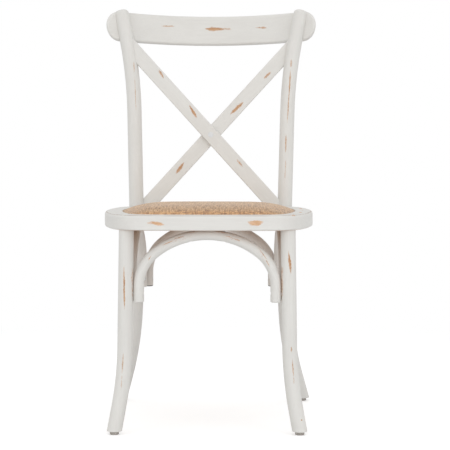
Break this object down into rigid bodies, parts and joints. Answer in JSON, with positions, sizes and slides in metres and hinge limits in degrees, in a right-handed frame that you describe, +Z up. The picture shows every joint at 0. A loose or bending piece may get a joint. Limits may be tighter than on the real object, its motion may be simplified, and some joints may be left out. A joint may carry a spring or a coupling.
{
  "type": "cross back chair",
  "caption": "Armless dining chair with round bent legs, a bowed crest rail, crossed back slats and a woven, gently crowned seat in a rounded wooden frame braced by bent arches.",
  "frame": {"origin": "on the floor, under the middle of the chair's overall width and depth", "axes": "+Z up, front of the seat towards -Y, back rest towards +Y, +X to the right seen from the front"},
  "size_m": [0.472, 0.5254, 0.89],
  "materials": {
    "painted_wood": "matt pale grey-white paint over wood, rubbed through in short streaks",
    "woven_cane": "tan and brown strands in a tight diagonal weave",
    "pad": "plain",
    "plywood": "raw",
    "plug": "matt pale paint",
    "steel": "zinc plated",
    "glide": "matt"
  },
  "bodies": {
    "root": {"back_post_left": "painted_wood", "back_post_right": "painted_wood", "crest_rail": "painted_wood", "cross_slat_front": "painted_wood", "cross_slat_rear": "painted_wood", "seat_frame": "painted_wood", "front_leg_left": "painted_wood", "front_leg_right": "painted_wood", "front_arch": "painted_wood", "side_arch_left": "painted_wood", "side_arch_right": "painted_wood", "rear_arch": "painted_wood", "seat_cane": "woven_cane", "seat_pad": "pad", "seat_board": "plywood", "crest_plugs": "plug", "cross_plug": "plug", "crest_screws": "steel", "cross_screw": "steel", "slat_pins": "steel", "arch_leg_screws": "steel", "arch_seat_screws": "steel", "seat_board_screws": "steel", "post_bolts": "steel", "post_bolt_washers": "steel", "post_barrel_nuts": "steel", "glide_nails": "steel", "glide_front_left": "glide", "glide_front_right": "glide", "glide_rear_left": "glide", "glide_rear_right": "glide"}
  },
  "joints": []
}
